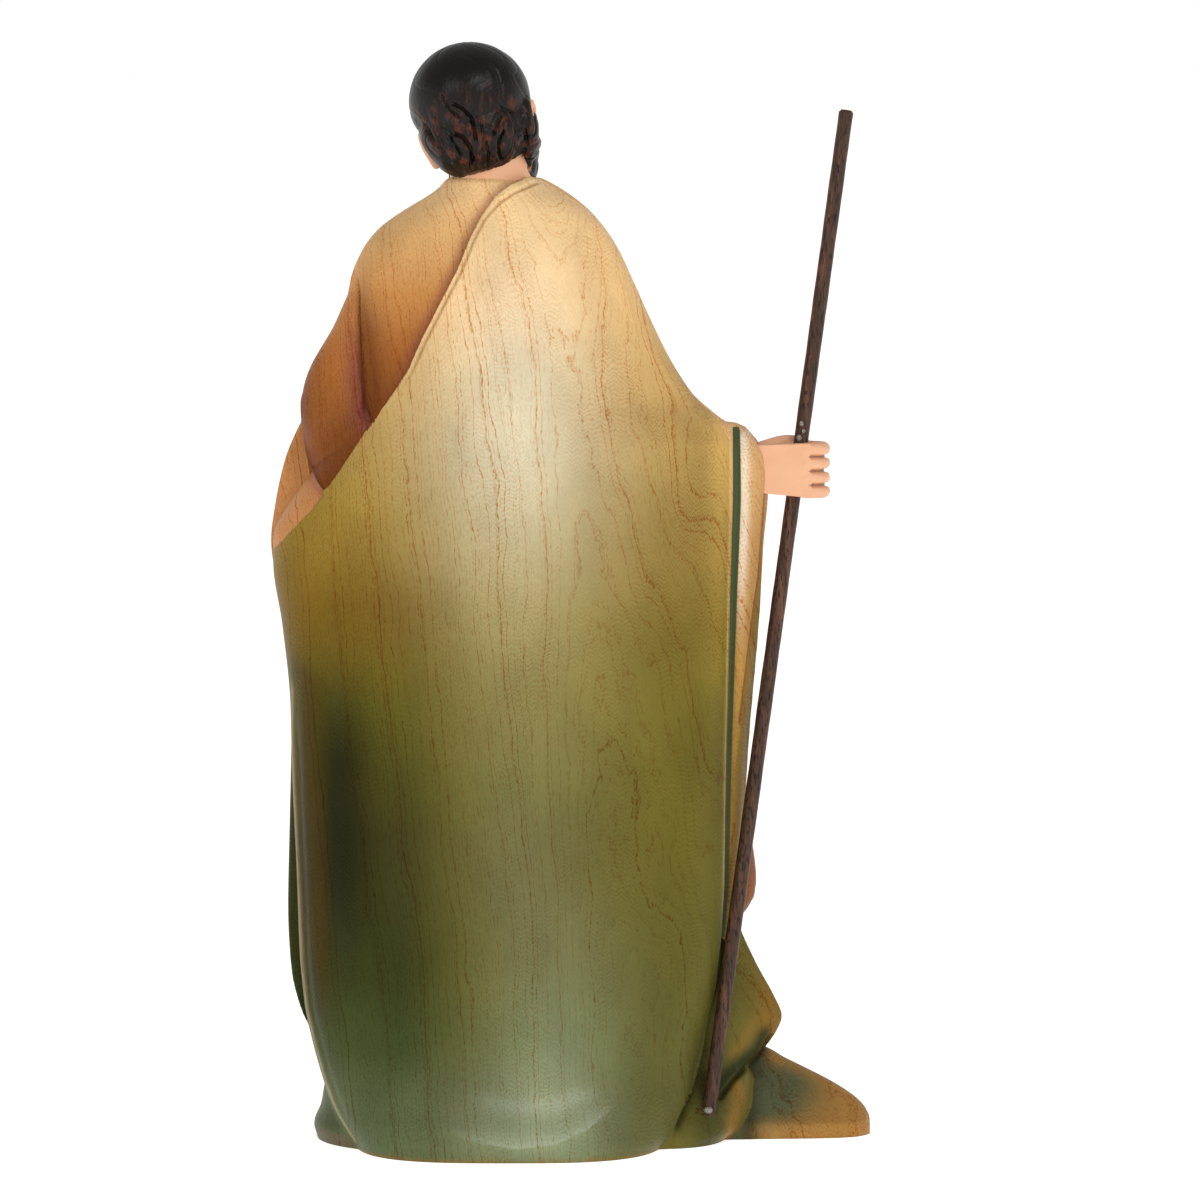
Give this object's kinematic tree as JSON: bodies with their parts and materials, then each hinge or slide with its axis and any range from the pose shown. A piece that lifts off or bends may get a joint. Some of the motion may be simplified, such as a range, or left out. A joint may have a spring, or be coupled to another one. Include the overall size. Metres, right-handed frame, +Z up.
{
  "type": "wooden saint statue",
  "caption": "Carved and stained wooden figure of a bearded saint in a long mantle, standing on its own hem, with a thin rod staff through its fist.",
  "frame": {"origin": "on the flat underside, under the axis of the torso", "axes": "+Z up, the figure faces -Y, its left side is +X and the hand with the staff is at -X"},
  "size_m": [0.1202, 0.0797, 0.2192],
  "materials": {
    "stained_ash": "satin varnish over honey and green stain",
    "stained_rod": "dark brown stain, satin"
  },
  "bodies": {
    "root": {"figure": "stained_ash", "staff": "stained_rod"}
  },
  "joints": []
}
